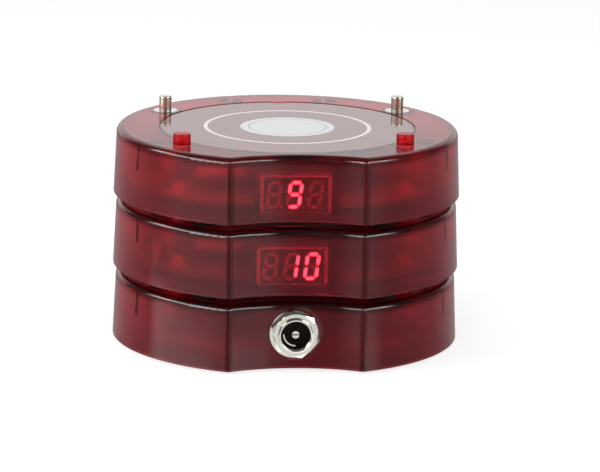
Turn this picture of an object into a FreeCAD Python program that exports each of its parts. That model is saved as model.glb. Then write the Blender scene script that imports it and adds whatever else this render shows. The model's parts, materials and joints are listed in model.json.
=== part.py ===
"""Charging stack for guest pagers: a base with a power jack and two round pagers on it.

Every unit has the same round shell with a shallow concave bite in its front. Two sprung
charging pins and two locating pegs stand on each top and enter the unit above.
The origin is on the floor under the middle of the round outline. +Z is up, and the bite
faces -Y. Inside one unit, heights are counted from the lower edge of its shell.
"""

import FreeCAD, Part
import math
import os
import re
import Sketcher
from FreeCAD import Placement, Rotation, Vector

# Driving dimensions in millimetres and degrees: alias, size.
DIMENSIONS = {
    # shell, the same moulding for all three units
    "shell_radius": 50.0,
    "shell_height": 18.8,
    "draft_angle": 2.6,
    "notch_radius": 43.3,
    "notch_reach": 41.9,
    "wall": 2.0,
    "edge_round": 1.8,
    "crease_round": 1.2,
    "bite_over": 1.0,
    # stack
    "base_foot": 0.6,
    "stack_pitch": 21.05,
    "lift_gap": 2.25,
    # label and its recess, with a locating key at the rear
    "recess_radius": 36.9,
    "recess_depth": 0.45,
    "label_radius": 36.7,
    "label_thick": 0.3,
    "key_radius": 3.8,
    "key_reach": 39.5,
    # charging pins
    "pin_across": 34.2,
    "pin_back": 23.8,
    "pin_radius": 1.8,
    "pin_guide": 1.5,
    "pin_stand": 4.3,
    "pin_tip_round": 0.45,
    "bush_radius": 3.65,
    "bush_bore": 1.86,
    "bush_guide": 1.56,
    "bush_step": 1.6,
    "bush_flange": 5.0,
    "bush_flange_thick": 1.3,
    "press_play": 0.03,
    "stop_gap": 0.05,
    "bush_foot": 14.15,
    "collar_radius": 2.6,
    "collar_height": 12.9,
    "spigot_radius": 1.3,
    "spigot_height": 11.4,
    "spring_radius": 2.3,
    "spring_bore": 1.75,
    # locating pegs
    "peg_across": 31.6,
    "peg_front": 24.8,
    "peg_radius": 2.55,
    "peg_stand": 3.1,
    "peg_shank": 2.75,
    "peg_flange": 3.5,
    "peg_flange_thick": 0.8,
    "peg_chamfer": 0.2,
    # screw bosses under the top, each tied to the wall by a rib
    "side_boss_across": 36.7,
    "side_boss_front": 20.4,
    "rear_boss_across": 14.0,
    "rear_boss_back": 39.6,
    "boss_radius": 2.9,
    "shoulder_radius": 3.8,
    "pilot_radius": 1.2,
    "pilot_deep": 9.0,
    "rib_thick": 1.2,
    "rib_foot": 10.2,
    "side_rib_reach": 43.6,
    "rear_rib_reach": 46.0,
    # bottom cover
    "cover_radius": 47.75,
    "cover_notch": 45.6,
    "cover_plate": 2.0,
    "cover_rim": 3.0,
    "rim_thick": 1.2,
    "collar_wall": 4.2,
    "collar_bore": 3.1,
    "screw_hole": 1.35,
    "head_hole": 2.5,
    "head_deep": 1.2,
    "well_radius": 2.7,
    "well_deep": 3.0,
    "well_wall": 4.2,
    "well_top": 3.75,
    "stud_hole": 1.3,
    "socket_radius": 2.95,
    "socket_deep": 1.3,
    # feet
    "foot_across": 25.2,
    "foot_back": 34.6,
    "foot_radius": 3.5,
    "foot_sink": 0.5,
    "seat_play": 0.1,
    "ring_outer": 37.0,
    "ring_inner": 33.5,
    # boards
    "board_radius": 46.4,
    "board_notch": 47.0,
    "board_height": 3.8,
    "board_thick": 1.6,
    "board_play": 0.15,
    "display_gate_half": 12.2,
    "display_slot_front": 32.0,
    "jack_slot_half": 8.0,
    "jack_slot_front": 28.0,
    # display
    "display_wide": 20.3,
    "display_high": 10.8,
    "display_deep": 7.0,
    "display_front": 39.0,
    "display_foot": 2.05,
    "window_wide": 18.3,
    "window_high": 9.9,
    "window_foot": 2.35,
    "window_deep": 0.3,
    "digit_high": 8.0,
    "digit_wide": 4.3,
    "digit_pitch": 5.9,
    "digit_aside": -0.3,
    "digit_slant": 7.5,
    "segment_wide": 1.05,
    "segment_gap": 0.12,
    "segment_thick": 0.15,
    # contact studs and screws
    "stud_head": 2.5,
    "stud_head_foot": 2.2,
    "stud_head_top": 3.0,
    "stud_shank": 1.2,
    "stud_top": 5.7,
    "screw_head": 2.3,
    "screw_head_high": 1.1,
    "screw_shank": 1.15,
    "screw_long": 8.5,
    # vibration motor and its weight, along X
    "motor_front": 17.0,
    "motor_height": 9.4,
    "motor_radius": 3.5,
    "motor_rear": -27.0,
    "motor_face": -14.5,
    "nose_radius": 1.2,
    "nose_long": 0.9,
    "shaft_radius": 0.5,
    "shaft_end": -7.2,
    "weight_radius": 3.1,
    "weight_bore": 0.55,
    "weight_rear": -13.2,
    "weight_face": -8.6,
    "hub_radius": 1.3,
    # sounder hole, aerial, cell edges and lamps
    "sound_hole": 1.0,
    "aerial_radius": 2.0,
    "aerial_long": 13.0,
    "aerial_across": -33.0,
    "aerial_back": 2.0,
    "cell_round": 1.2,
    "lamp_radius": 1.6,
    "lamp_rim": 2.0,
    "lamp_rim_high": 0.6,
    "lamp_high": 2.3,
    "lamp_dome": 0.8,
    "side_lamp_across": 41.5,
    "side_lamp_back": 6.0,
    # power jack
    "jack_height": 10.1,
    "jack_seat": 41.1,
    "jack_seat_radius": 7.75,
    "jack_hole": 5.05,
    "barrel_radius": 4.95,
    "barrel_bore": 4.0,
    "barrel_front": 45.2,
    "barrel_back": 33.5,
    "shoulder_front": 39.1,
    "shoulder_back": 37.3,
    "jack_shoulder": 6.3,
    "nut_across_flats": 12.1,
    "nut_thick": 2.4,
    "nut_turn": -15.5,
    "nut_chamfer": 30.0,
    "washer_radius": 6.85,
    "washer_hole": 5.85,
    "washer_thick": 0.8,
    "washer_shift": -0.35,
    "washer_lift": -0.2,
    "plug_front": 36.8,
    "plug_back": 29.0,
    "centre_pin_radius": 1.05,
    "centre_pin_shank": 0.8,
    "centre_pin_front": 43.6,
    "tail_long": 1.5,
    "slot_deep": 2.0,
    "slot_high": 0.35,
    "leaf_inner": 3.15,
    "leaf_outer": 3.5,
    "leaf_front": 43.0,
    "thread_play": 0.02,
    "lead_radius": 0.7,
    "lead_across": 2.4,
}

# Blocks on the boards: wide, deep, high, and the middle's place across and back.
BLOCKS = {
    "controller": (9.0, 9.0, 1.4, 1.0, -18.0),
    "radio": (16.0, 11.0, 2.4, -3.0, 29.0),
    "crystal": (4.5, 2.0, 2.0, 11.0, -8.5),
    "connector": (7.0, 4.0, 4.5, -24.0, 10.0),
    "saddle": (8.0, 8.0, 2.6, -20.5, -17.0),
    "cell": (34.0, 22.0, 5.6, 0.0, 9.0),
    "regulator": (7.0, 6.5, 2.3, -13.0, -12.0),
    "charge_chip": (6.0, 5.0, 1.6, 6.0, 4.0),
    "coil": (9.0, 9.0, 4.5, -14.0, 8.0),
}
# Upright cans on the boards: radius, high, and the middle's place across and back.
CANS = {
    "capacitor": (3.1, 6.5, 14.0, 29.5),
    "buzzer": (6.0, 7.0, 19.0, -15.0),
    "input_capacitor": (4.0, 9.0, 16.0, -9.0),
    "output_capacitor": (3.15, 7.0, 18.0, 14.0),
}
for table, sizes in ((BLOCKS, ("wide", "deep", "high", "across", "back")),
                     (CANS, ("radius", "high", "across", "back"))):
    for piece, values in table.items():
        DIMENSIONS.update({piece + "_" + size: value for size, value in zip(sizes, values)})

NOTCH_AXIS = "(notch_reach + notch_radius)"
NOTCH_SLOPE = "tan(draft_angle * 1deg)"
BOARD_TOP = "(board_height + board_thick)"
LEVELS = {
    "base": "base_foot",
    "lower": "base_foot + stack_pitch",
    "upper": "base_foot + 2 * stack_pitch",
}
# Which digits are lit on each pager: place from the left (-1, 0, 1) and figure.
SHOWN = {"lower": ((0, "1"), (1, "0")), "upper": ((0, "9"),)}
DISPLAY_SHIFT = {"lower": "-1.0", "upper": "-0.3"}
DISPLAY_LIFT = {"lower": "0.5", "upper": "0"}
FIGURES = {"9": "abcdfg", "1": "bc", "0": "abcdef"}
# Middle of each segment in half digits across and up, and whether it stands upright.
SEGMENTS = {
    "a": (0, 1, False),
    "b": (1, 0.5, True),
    "c": (1, -0.5, True),
    "d": (0, -1, False),
    "e": (-1, -0.5, True),
    "f": (-1, 0.5, True),
    "g": (0, 0, False),
}
ALONG_X = Rotation(Vector(0, 1, 0), 90)
TOWARDS_FRONT = Rotation(Vector(1, 0, 0), 90)
TOWARDS_BACK = Rotation(Vector(1, 0, 0), -90)

DOC = FreeCAD.newDocument("pager_stack")
SHEET = DOC.addObject("Spreadsheet::Sheet", "Sizes")
NODES = []


# ---------------------------------------------------------------- sheet and expressions
def fill_sheet():
    """Write the driving dimensions into the sheet, one row each."""
    for row, (alias, size) in enumerate(DIMENSIONS.items(), start=1):
        SHEET.set("A%d" % row, alias.replace("_", " "))
        SHEET.set("B%d" % row, str(size))
        SHEET.setAlias("B%d" % row, alias)
    DOC.recompute()


def from_sheet(text):
    """Point the aliases in an expression at the sheet."""
    def named(word):
        return "Sizes." + word.group() if word.group() in DIMENSIONS else word.group()
    return re.sub(r"[a-z_]+", named, str(text))


def number(text):
    """Present value of an expression over the sheet."""
    return float(SHEET.evalExpression(from_sheet(text)))


def bind(item, path, text):
    """Bind a property to an expression over the sheet."""
    item.setExpression(path, from_sheet(text))


# ---------------------------------------------------------------- sketches
def new_body(name):
    return DOC.addObject("PartDesign::Body", name)


def sketch(body, name, role="XY_Plane", offset="0"):
    """Empty sketch on an origin plane of the body, lifted along the plane's normal."""
    item = body.newObject("Sketcher::SketchObject", name)
    plane = [found for found in body.Origin.OriginFeatures if found.Role == role][0]
    item.AttachmentSupport = [(plane, "")]
    item.MapMode = "FlatFace"
    bind(item, "AttachmentOffset.Base.z", offset)
    return item


def dimension(item, kind, text, *elements):
    """Add one dimension whose value follows the sheet."""
    index = item.addConstraint(Sketcher.Constraint(kind, *elements, number(text)))
    item.setExpression("Constraints[%d]" % index, from_sheet(text))


def place_point(item, geometry, point, across, up):
    """Hold a point of the sketch at a place counted from the sketch's origin."""
    dimension(item, "DistanceX", across, -1, 1, geometry, point)
    dimension(item, "DistanceY", up, -1, 1, geometry, point)


def loop(item, *corners):
    """Closed outline through corners given as pairs of expressions."""
    points = [Vector(number(across), number(up), 0) for across, up in corners]
    first = item.GeometryCount
    count = len(points)
    for index in range(count):
        item.addGeometry(Part.LineSegment(points[index], points[(index + 1) % count]), False)
    for index in range(count):
        follower = first + (index + 1) % count
        item.addConstraint(Sketcher.Constraint("Coincident", first + index, 2, follower, 1))
    for index, (across, up) in enumerate(corners):
        place_point(item, first + index, 1, across, up)
    return item


def rectangle(item, left, bottom, right, top):
    return loop(item, (left, bottom), (right, bottom), (right, top), (left, top))


def circle(item, across, up, radius):
    """Circle held by its middle and radius."""
    middle = Vector(number(across), number(up), 0)
    index = item.addGeometry(Part.Circle(middle, Vector(0, 0, 1), number(radius)), False)
    place_point(item, index, 3, across, up)
    dimension(item, "Radius", radius, index)
    return item


def circles(item, places, radius):
    for across, up in places:
        circle(item, across, up, radius)
    return item


def crescent(item, outer, notch):
    """Round outline with the concave bite: two arcs that share their ends."""
    reach = number(NOTCH_AXIS)
    outer_now, notch_now = number(outer), number(notch)
    meet_y = -(outer_now ** 2 - notch_now ** 2 + reach ** 2) / (2 * reach)
    meet_x = math.sqrt(outer_now ** 2 - meet_y ** 2)
    up = Vector(0, 0, 1)
    round_part = Part.ArcOfCircle(Part.Circle(Vector(0, 0, 0), up, outer_now),
                                  math.atan2(meet_y, meet_x),
                                  math.atan2(meet_y, -meet_x) + 2 * math.pi)
    bite = Part.ArcOfCircle(Part.Circle(Vector(0, -reach, 0), up, notch_now),
                            math.atan2(meet_y + reach, meet_x),
                            math.atan2(meet_y + reach, -meet_x))
    first = item.addGeometry(round_part, False)
    second = item.addGeometry(bite, False)
    item.addConstraint(Sketcher.Constraint("Coincident", first, 3, -1, 1))
    dimension(item, "Radius", outer, first)
    item.addConstraint(Sketcher.Constraint("PointOnObject", second, 3, -2))
    dimension(item, "DistanceY", "-" + NOTCH_AXIS, -1, 1, second, 3)
    dimension(item, "Radius", notch, second)
    item.addConstraint(Sketcher.Constraint("Coincident", first, 1, second, 1))
    item.addConstraint(Sketcher.Constraint("Coincident", first, 2, second, 2))
    return item


# ---------------------------------------------------------------- features of a body
def solid_volume(body):
    return body.Shape.Volume if not body.Shape.isNull() else 0.0


def add_feature(body, kind, name, profile, length=None, upwards=False):
    """Feature from a sketch. It raises an error when the solid stays the same."""
    before = solid_volume(body)
    item = body.newObject("PartDesign::" + kind, name)
    item.Profile = profile
    if length is not None:
        bind(item, "Length", length)
    item.Reversed = upwards
    DOC.recompute()
    if abs(solid_volume(body) - before) < 0.001:
        raise RuntimeError("%s changes nothing in %s" % (name, body.Name))
    return item


def pad(body, name, profile, length):
    return add_feature(body, "Pad", name, profile, length)


def pocket_down(body, name, profile, depth):
    return add_feature(body, "Pocket", name, profile, depth)


def pocket_up(body, name, profile, depth):
    return add_feature(body, "Pocket", name, profile, depth, upwards=True)


def turn(body, name, profile):
    """Solid of revolution about the sketch's upright axis."""
    item = body.newObject("PartDesign::Revolution", name)
    item.Profile = profile
    item.ReferenceAxis = (profile, ["V_Axis"])
    item.Angle = 360
    DOC.recompute()
    return item


def turned_body(name, *corners):
    """Body turned about Z from an outline of radius and height."""
    body = new_body(name)
    turn(body, name + "_turn", loop(sketch(body, name + "_profile", "XZ_Plane"), *corners))
    return body


def round_edges(body, name, wanted, radius):
    """Fillet on every edge of the body that passes the test."""
    base = body.Tip
    edges = ["Edge%d" % (index + 1) for index, edge in enumerate(base.Shape.Edges)
             if wanted(edge)]
    item = body.newObject("PartDesign::Fillet", name)
    item.Base = (base, edges)
    bind(item, "Radius", radius)
    DOC.recompute()
    return item


# ---------------------------------------------------------------- primitives and booleans
def put(item, across, back, up, turned=None):
    """Place a primitive by three expressions."""
    item.Placement = Placement(Vector(number(across), number(back), number(up)),
                               turned or Rotation())
    bind(item, "Placement.Base.x", across)
    bind(item, "Placement.Base.y", back)
    bind(item, "Placement.Base.z", up)
    return item


def cylinder(name, radius, length, across="0", back="0", up="0", turned=None):
    item = DOC.addObject("Part::Cylinder", name)
    bind(item, "Radius", radius)
    bind(item, "Height", length)
    return put(item, across, back, up, turned)


def box(name, wide, deep, high, across, back, up):
    """Box with the middle of its footprint at the given place."""
    item = DOC.addObject("Part::Box", name)
    bind(item, "Length", wide)
    bind(item, "Width", deep)
    bind(item, "Height", high)
    return put(item, "%s - (%s) / 2" % (across, wide), "%s - (%s) / 2" % (back, deep), up)


def fuse(name, *pieces):
    item = DOC.addObject("Part::MultiFuse", name)
    item.Shapes = list(pieces)
    return item


def cut(name, base, *tools):
    item = DOC.addObject("Part::Cut", name)
    item.Base = base
    item.Tool = tools[0] if len(tools) == 1 else fuse(name + "_tools", *tools)
    return item


def group(name, *pieces):
    item = DOC.addObject("Part::Compound", name)
    item.Links = list(pieces)
    return item


def both_sides(name, piece):
    """The piece and its mirror image across the middle plane, as one group."""
    image = DOC.addObject("Part::Mirroring", name + "_mirrored")
    image.Source = piece
    image.Normal = Vector(1, 0, 0)
    return group(name, piece, image)


def settle(unit, node, item):
    """Give a finished piece its name and lift it to its unit's level."""
    item.Label = "%s_%s" % (unit, node)
    bind(item, "Placement.Base.z", LEVELS[unit])
    NODES.append(item)


# ---------------------------------------------------------------- places that repeat
def mirrored_places(across, *rows):
    """The same rows on both sides of the middle plane."""
    return [(sign + across, row) for row in rows for sign in ("", "-")]


PIN_PLACES = mirrored_places("pin_across", "pin_back")
PEG_PLACES = mirrored_places("peg_across", "-peg_front")
FOOT_PLACES = mirrored_places("foot_across", "foot_back", "-foot_back")
BOSS_PLACES = (mirrored_places("side_boss_across", "-side_boss_front")
               + mirrored_places("rear_boss_across", "rear_boss_back"))


# ---------------------------------------------------------------- shell and cover
def hollow_outline(body):
    """Tapered round block with the concave bite, hollowed from below, edges rounded."""
    taper = "shell_height * " + NOTCH_SLOPE
    profile = loop(sketch(body, "outline", "XZ_Plane"), ("0", "0"), ("shell_radius", "0"),
                   ("shell_radius - " + taper, "shell_height"), ("0", "shell_height"))
    turn(body, "block", profile)
    axis, below, above = "-" + NOTCH_AXIS, "0 - bite_over", "shell_height + bite_over"
    bite = sketch(body, "bite", "YZ_Plane")
    loop(bite, (axis, below), ("(%s) * %s - notch_reach" % (below, NOTCH_SLOPE), below),
         ("(%s) * %s - notch_reach" % (above, NOTCH_SLOPE), above), (axis, above))
    foot, origin = Vector(number(axis), number(below), 0), Vector(number(axis), 0, 0)
    upright = bite.addGeometry(Part.LineSegment(foot, origin), True)
    place_point(bite, upright, 1, axis, below)
    place_point(bite, upright, 2, axis, "0")
    DOC.recompute()
    groove = body.newObject("PartDesign::Groove", "front_bite")
    groove.Profile = bite
    groove.ReferenceAxis = (bite, ["Axis0"])
    groove.Angle = 360
    DOC.recompute()
    under = ["Face%d" % (index + 1) for index, face in enumerate(groove.Shape.Faces)
             if face.BoundBox.ZMax < 0.01]
    hollow = body.newObject("PartDesign::Thickness", "hollow")
    hollow.Base = (groove, under)
    bind(hollow, "Value", "wall")
    hollow.Reversed = True
    hollow.Join = 1
    DOC.recompute()
    crease_front = number("0 - notch_reach - wall * 2")
    height = number("shell_height")

    def is_crease(edge):
        return edge.BoundBox.ZLength > height / 2 and edge.BoundBox.YMin < crease_front

    def is_top_edge(edge):
        return edge.BoundBox.ZMin > height - 0.01

    round_edges(body, "top_edge", is_top_edge, "edge_round")
    round_edges(body, "creases", is_crease, "crease_round")


def top_shell(unit):
    """Shell with its pin and peg holes, screw bosses and ribs."""
    body = new_body(unit + "_shell")
    hollow_outline(body)
    ceiling = "shell_height - wall"
    for name, places, radius in (("boss", BOSS_PLACES, "boss_radius"),
                                 ("shoulder", BOSS_PLACES, "shoulder_radius")):
        foot = "cover_plate" if name == "boss" else BOARD_TOP
        posts = circles(sketch(body, name + "_sketch", offset=foot), places, radius)
        pad(body, name, posts, "%s - %s + wall / 2" % (ceiling, foot))
    ribs = sketch(body, "rib_sketch", offset="rib_foot")
    for sign in ("", "-"):
        rectangle(ribs, sign + "(side_boss_across + pilot_radius * 2)",
                  "-side_boss_front - rib_thick / 2", sign + "side_rib_reach",
                  "-side_boss_front + rib_thick / 2")
        rectangle(ribs, sign + "rear_boss_across - rib_thick / 2",
                  "rear_boss_back + pilot_radius * 2",
                  sign + "rear_boss_across + rib_thick / 2", "rear_rib_reach")
    pad(body, "ribs", ribs, "%s - rib_foot + wall / 2" % ceiling)
    pilots = circles(sketch(body, "pilot_sketch", offset="cover_plate"), BOSS_PLACES,
                     "pilot_radius")
    pocket_up(body, "pilots", pilots, "pilot_deep")
    pins = circles(sketch(body, "pin_hole_sketch", offset="shell_height"), PIN_PLACES,
                   "bush_radius + press_play")
    pocket_down(body, "pin_holes", pins, "wall * 1.5")
    pegs = circles(sketch(body, "peg_hole_sketch", offset="shell_height"), PEG_PLACES,
                   "peg_shank + press_play")
    pocket_down(body, "peg_holes", pegs, "wall * 1.5")
    return body


def add_label_recess(body):
    """Shallow round seat for the label, with a key that stops it turning."""
    seat = circle(sketch(body, "recess_sketch", offset="shell_height"), "0", "0",
                  "recess_radius")
    pocket_down(body, "recess", seat, "recess_depth")
    key = circle(sketch(body, "key_sketch", offset="shell_height - recess_depth"), "0",
                 "key_reach", "key_radius")
    pad(body, "key", key, "recess_depth")


def add_jack_seat(body):
    """Flat seat and hole for the power jack in the concave front."""
    seat = circle(sketch(body, "seat_sketch", "XZ_Plane", "jack_seat"), "0", "jack_height",
                  "jack_seat_radius")
    add_feature(body, "Pocket", "jack_seat", seat, "wall * 2", upwards=True)
    hole = circle(sketch(body, "hole_sketch", "XZ_Plane", "jack_seat + wall"), "0",
                  "jack_height", "jack_hole")
    pocket_down(body, "jack_hole_cut", hole, "wall * 3.5")


def bottom_cover(unit, stacked):
    """Floor of a unit. A stacked one has wells for the pins and sockets for the pegs."""
    body = new_body(unit + "_cover")
    pad(body, "slab", crescent(sketch(body, "slab_sketch"), "cover_radius", "cover_notch"),
        "cover_rim")
    inside = crescent(sketch(body, "inside_sketch", offset="cover_rim"),
                      "cover_radius - rim_thick", "cover_notch + rim_thick")
    pocket_down(body, "inside", inside, "cover_rim - cover_plate")
    collars = circles(sketch(body, "collar_sketch", offset="cover_plate"), BOSS_PLACES,
                      "collar_wall")
    circles(collars, BOSS_PLACES, "collar_bore")
    pad(body, "collars", collars, "board_height - cover_plate")
    if stacked:
        walls = circles(sketch(body, "well_wall_sketch", offset="cover_plate"), PIN_PLACES,
                        "well_wall")
        pad(body, "well_walls", walls, "well_top - cover_plate")
        wells = circles(sketch(body, "well_sketch"), PIN_PLACES, "well_radius")
        pocket_up(body, "wells", wells, "well_deep")
        shanks = circles(sketch(body, "stud_sketch"), PIN_PLACES, "stud_hole")
        pocket_up(body, "stud_holes", shanks, "well_top + 1")
        sockets = circles(sketch(body, "socket_sketch"), PEG_PLACES, "socket_radius")
        pocket_up(body, "peg_sockets", sockets, "socket_deep")
        seats = circles(sketch(body, "foot_sketch"), FOOT_PLACES, "foot_radius + seat_play")
        pocket_up(body, "foot_seats", seats, "foot_sink")
        gate = rectangle(sketch(body, "display_gate_sketch", offset="cover_rim"),
                         "0 - display_gate_half", "0 - shell_radius",
                         "display_gate_half", "rim_thick * 2 - display_front")
        pocket_down(body, "display_gate", gate, "cover_rim - cover_plate")
    else:
        seat = circle(sketch(body, "ring_sketch"), "0", "0", "ring_outer + seat_play")
        circle(seat, "0", "0", "ring_inner - seat_play")
        pocket_up(body, "ring_seat", seat, "foot_sink")
    holes = circles(sketch(body, "screw_sketch"), BOSS_PLACES, "screw_hole")
    pocket_up(body, "screw_holes", holes, "cover_rim")
    heads = circles(sketch(body, "head_sketch"), BOSS_PLACES, "head_hole")
    pocket_up(body, "head_seats", heads, "head_deep")
    return body


# ---------------------------------------------------------------- pins and pegs
def charge_pin(unit, side, sign):
    """Sprung pin: rounded tip on a slimmer guide, stop collar and a spigot in the spring."""
    tip = "(shell_height + pin_stand)"
    stop = "(bush_foot - stop_gap)"
    body = turned_body("%s_pin_%s" % (unit, side), ("0", "spigot_height"),
                       ("spigot_radius", "spigot_height"), ("spigot_radius", "collar_height"),
                       ("collar_radius", "collar_height"), ("collar_radius", stop),
                       ("pin_guide", stop), ("pin_guide", "shell_height"),
                       ("pin_radius", "shell_height"), ("pin_radius", tip), ("0", tip))
    top = number(tip)
    round_edges(body, "tip", lambda edge: edge.BoundBox.ZMin > top - 0.01, "pin_tip_round")
    put(body, sign + "pin_across", "pin_back", "0")
    settle(unit, "charge_pin_" + side, body)


def pin_spring(unit, side, sign):
    """Spring between the board and the pin's collar."""
    height = "collar_height - " + BOARD_TOP
    place = (sign + "pin_across", "pin_back", BOARD_TOP)
    outside = cylinder("spring_outside", "spring_radius", height, *place)
    inside = cylinder("spring_inside", "spring_bore", height, *place)
    settle(unit, "pin_spring_" + side, cut("spring_" + side, outside, inside))


def pin_bushes(unit):
    """Plated guide bushes, flush with the top, with a wider mouth that takes the tip."""
    ceiling = "(shell_height - wall)"
    flange_foot = "(shell_height - wall - bush_flange_thick)"
    step = "(shell_height - bush_step)"
    body = turned_body("bush", ("bush_guide", "bush_foot"), ("bush_radius", "bush_foot"),
                       ("bush_radius", flange_foot), ("bush_flange", flange_foot),
                       ("bush_flange", ceiling), ("bush_radius", ceiling),
                       ("bush_radius", "shell_height"), ("bush_bore", "shell_height"),
                       ("bush_bore", step), ("bush_guide", step))
    put(body, "pin_across", "pin_back", "0")
    settle(unit, "pin_bushes", both_sides("bushes", body))


def locating_pegs(unit):
    """Red pegs on a wider shank flush with the top and a flange under the ceiling."""
    head_top = "(shell_height + peg_stand)"
    ceiling = "(shell_height - wall)"
    body = turned_body("peg", ("0", ceiling + " - peg_flange_thick"),
                       ("peg_flange", ceiling + " - peg_flange_thick"),
                       ("peg_flange", ceiling), ("peg_shank", ceiling),
                       ("peg_shank", "shell_height"), ("peg_radius", "shell_height"),
                       ("peg_radius", head_top + " - peg_chamfer"),
                       ("peg_radius - peg_chamfer", head_top), ("0", head_top))
    put(body, "peg_across", "-peg_front", "0")
    room = cylinder("peg_boss_room", "shoulder_radius + press_play", "shell_height",
                    "side_boss_across", "-side_boss_front")
    settle(unit, "locating_pegs", both_sides("pegs", cut("peg_trimmed", body, room)))


# ---------------------------------------------------------------- fasteners and feet
def housing_screws(unit):
    """Four pan-head screws up through the cover into the bosses."""
    screws = []
    for across, back in BOSS_PLACES:
        head = cylinder("screw_head", "screw_head", "screw_head_high", across, back,
                        "head_deep - screw_head_high")
        shank = cylinder("screw_shank", "screw_shank", "screw_long", across, back,
                         "head_deep")
        screws.append(fuse("screw", head, shank))
    settle(unit, "housing_screws", group("screws", *screws))


def rubber_feet(unit):
    """Four round feet that carry the pager on the unit below."""
    feet = [cylinder("foot", "foot_radius", "lift_gap + foot_sink", across, back,
                     "0 - lift_gap") for across, back in FOOT_PLACES]
    settle(unit, "rubber_feet", group("feet", *feet))


def contact_studs(unit):
    """Flat-headed studs above the charging pins, soldered into the board."""
    body = turned_body("stud", ("0", "stud_head_foot"), ("stud_head", "stud_head_foot"),
                       ("stud_head", "stud_head_top"), ("stud_shank", "stud_head_top"),
                       ("stud_shank", "stud_top"), ("0", "stud_top"))
    put(body, "pin_across", "pin_back", "0")
    settle(unit, "contact_studs", both_sides("studs", body))


# ---------------------------------------------------------------- inside a pager
def circuit_board(unit, slot_half, slot_front, name):
    """Board of the unit's outline with holes for bosses and studs and a front slot."""
    body = new_body(unit + "_board")
    slab = crescent(sketch(body, "board_sketch", offset="board_height"), "board_radius",
                    "board_notch")
    pad(body, "board", slab, "board_thick")
    holes = circles(sketch(body, "hole_sketch", offset=BOARD_TOP), BOSS_PLACES,
                    "boss_radius + board_play")
    if unit != "base":
        circles(holes, PIN_PLACES, "stud_hole")
    pocket_down(body, "holes", holes, "board_thick")
    slot = rectangle(sketch(body, "slot_sketch", offset=BOARD_TOP), "0 - " + slot_half,
                     "0 - shell_radius", slot_half, "0 - " + slot_front)
    pocket_down(body, "slot", slot, "board_thick")
    settle(unit, name, body)


def on_board(name):
    """Block that stands on the board, with its sizes from the sheet."""
    sizes = [name + "_" + size for size in ("wide", "deep", "high", "across", "back")]
    return box(name, *sizes, BOARD_TOP)


def can_on_board(name):
    """Upright can that stands on the board."""
    sizes = [name + "_" + size for size in ("radius", "high", "across", "back")]
    return cylinder(name, *sizes, BOARD_TOP)


def along_motor(name, radius, start, end):
    """Cylinder on the motor's axis between two places across the pager."""
    return cylinder(name, radius, "%s - (%s)" % (end, start), start, "0 - motor_front",
                    "motor_height", ALONG_X)


def board_components(unit):
    """Chips, radio module, capacitor, crystal, aerial and the motor's saddle."""
    parts = [on_board(name) for name in ("controller", "radio", "crystal", "connector")]
    parts.append(can_on_board("capacitor"))
    parts.append(cylinder("aerial", "aerial_radius", "aerial_long", "aerial_across",
                          "aerial_back", BOARD_TOP + " + aerial_radius", TOWARDS_BACK))
    hollow = along_motor("saddle_hollow", "motor_radius + board_play", "motor_rear",
                         "motor_face")
    parts.append(cut("motor_saddle", on_board("saddle"), hollow))
    settle(unit, "board_components", group("components", *parts))


def battery(unit):
    """Flat rechargeable cell with rounded edges."""
    block = on_board("cell")
    DOC.recompute()
    cell = DOC.addObject("Part::Fillet", "rounded_cell")
    cell.Base = block
    deep, high, rounding = number("cell_deep"), number("cell_high"), number("cell_round")
    cell.Edges = [(index + 1, rounding, rounding)
                  for index, edge in enumerate(block.Shape.Edges)
                  if edge.BoundBox.YLength > deep / 2 or edge.BoundBox.ZLength > high / 2]
    settle(unit, "battery", group("battery", cell))


def vibration_motor(unit):
    """Small motor on its side, with the shaft that carries the weight."""
    can = along_motor("motor_can", "motor_radius", "motor_rear", "motor_face")
    nose = along_motor("motor_nose", "nose_radius", "motor_face", "motor_face + nose_long")
    shaft = along_motor("motor_shaft", "shaft_radius", "motor_face", "shaft_end")
    settle(unit, "vibration_motor", fuse("motor", can, nose, shaft))


def motor_weight(unit):
    """Half-round weight that hangs below the shaft, with a hub all round it."""
    disc = along_motor("weight_disc", "weight_radius", "weight_rear", "weight_face")
    upper_half = box("weight_upper", "weight_radius * 2", "weight_radius * 3",
                     "weight_radius * 2", "(weight_rear + weight_face) / 2",
                     "0 - motor_front", "motor_height")
    hub = along_motor("weight_hub", "hub_radius", "weight_rear", "weight_face")
    bore = along_motor("weight_bore", "weight_bore", "weight_rear - wall",
                       "weight_face + wall")
    solid = fuse("weight_solid", cut("weight_lower", disc, upper_half), hub)
    settle(unit, "motor_weight", cut("weight", solid, bore))


def buzzer(unit):
    """Round sounder with a hole in its lid."""
    hole = cylinder("buzzer_hole", "sound_hole", "buzzer_high", "buzzer_across",
                    "buzzer_back", BOARD_TOP + " + buzzer_high / 2")
    settle(unit, "buzzer", cut("sounder", can_on_board("buzzer"), hole))


def indicator_lamps(unit):
    """Four low lamps, two of them under the red pegs and two at the sides."""
    places = PEG_PLACES + mirrored_places("side_lamp_across", "side_lamp_back")
    foot = BOARD_TOP
    rim, dome, top = (foot + " + lamp_rim_high", foot + " + lamp_high - lamp_dome",
                      foot + " + lamp_high")
    lamps = []
    for across, back in places:
        lamp = turned_body("lamp", ("0", foot), ("lamp_rim", foot), ("lamp_rim", rim),
                           ("lamp_radius", rim), ("lamp_radius", dome),
                           ("lamp_radius - lamp_dome / 2", top), ("0", top))
        lamps.append(put(lamp, across, back, "0"))
    settle(unit, "indicator_lamps", group("lamps", *lamps))


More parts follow.
